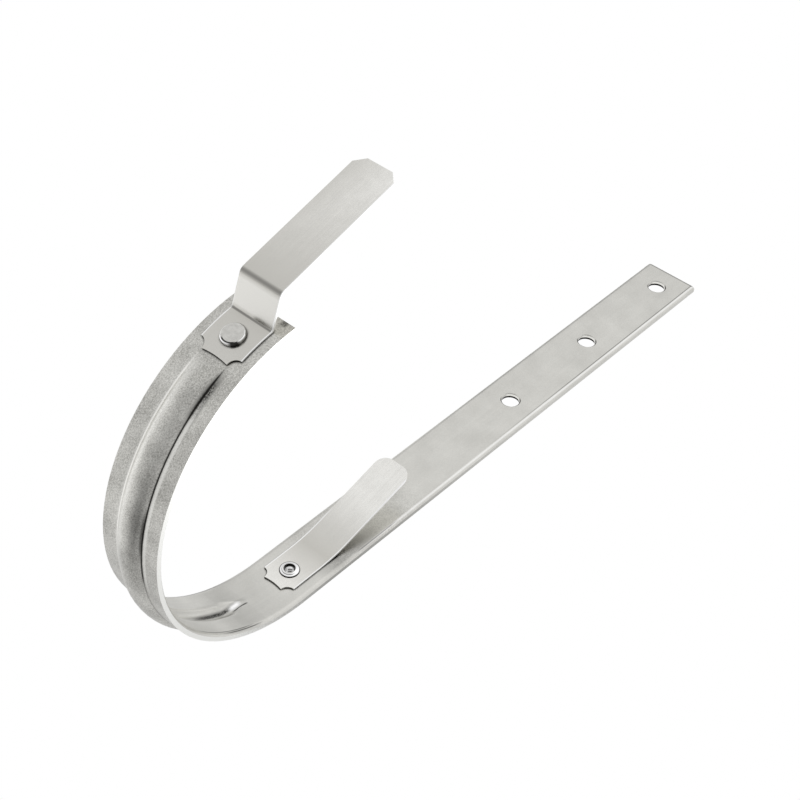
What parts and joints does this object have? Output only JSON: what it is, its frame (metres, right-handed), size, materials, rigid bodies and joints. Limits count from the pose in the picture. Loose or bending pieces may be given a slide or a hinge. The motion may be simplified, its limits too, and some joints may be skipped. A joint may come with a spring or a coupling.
{
  "type": "gutter bracket",
  "caption": "Half-round gutter bracket: a steel strip bent to a hook with a pressed rib and a straight arm with fixing holes, and thin riveted straps that are folded over the gutter's edges.",
  "frame": {"origin": "middle fixing hole of the arm, on the arm's outer face, which is screwed against the roof", "axes": "+X along the arm away from the hook, +Y across the strip, +Z out of the arm's inner face, towards the side the hook bends to"},
  "size_m": [0.3822, 0.03, 0.1957],
  "materials": {
    "strip_steel": "hot-dip galvanised strip, satin, with faint lengthwise streaks",
    "strap_steel": "galvanised sheet, brighter and smoother than the strip",
    "rivet_steel": "zinc-plated, satin"
  },
  "bodies": {
    "root": {"bracket_strip": "strip_steel", "front_strap": "strap_steel", "rear_strap": "strap_steel", "front_rivet": "rivet_steel", "rear_rivet": "rivet_steel"}
  },
  "joints": []
}
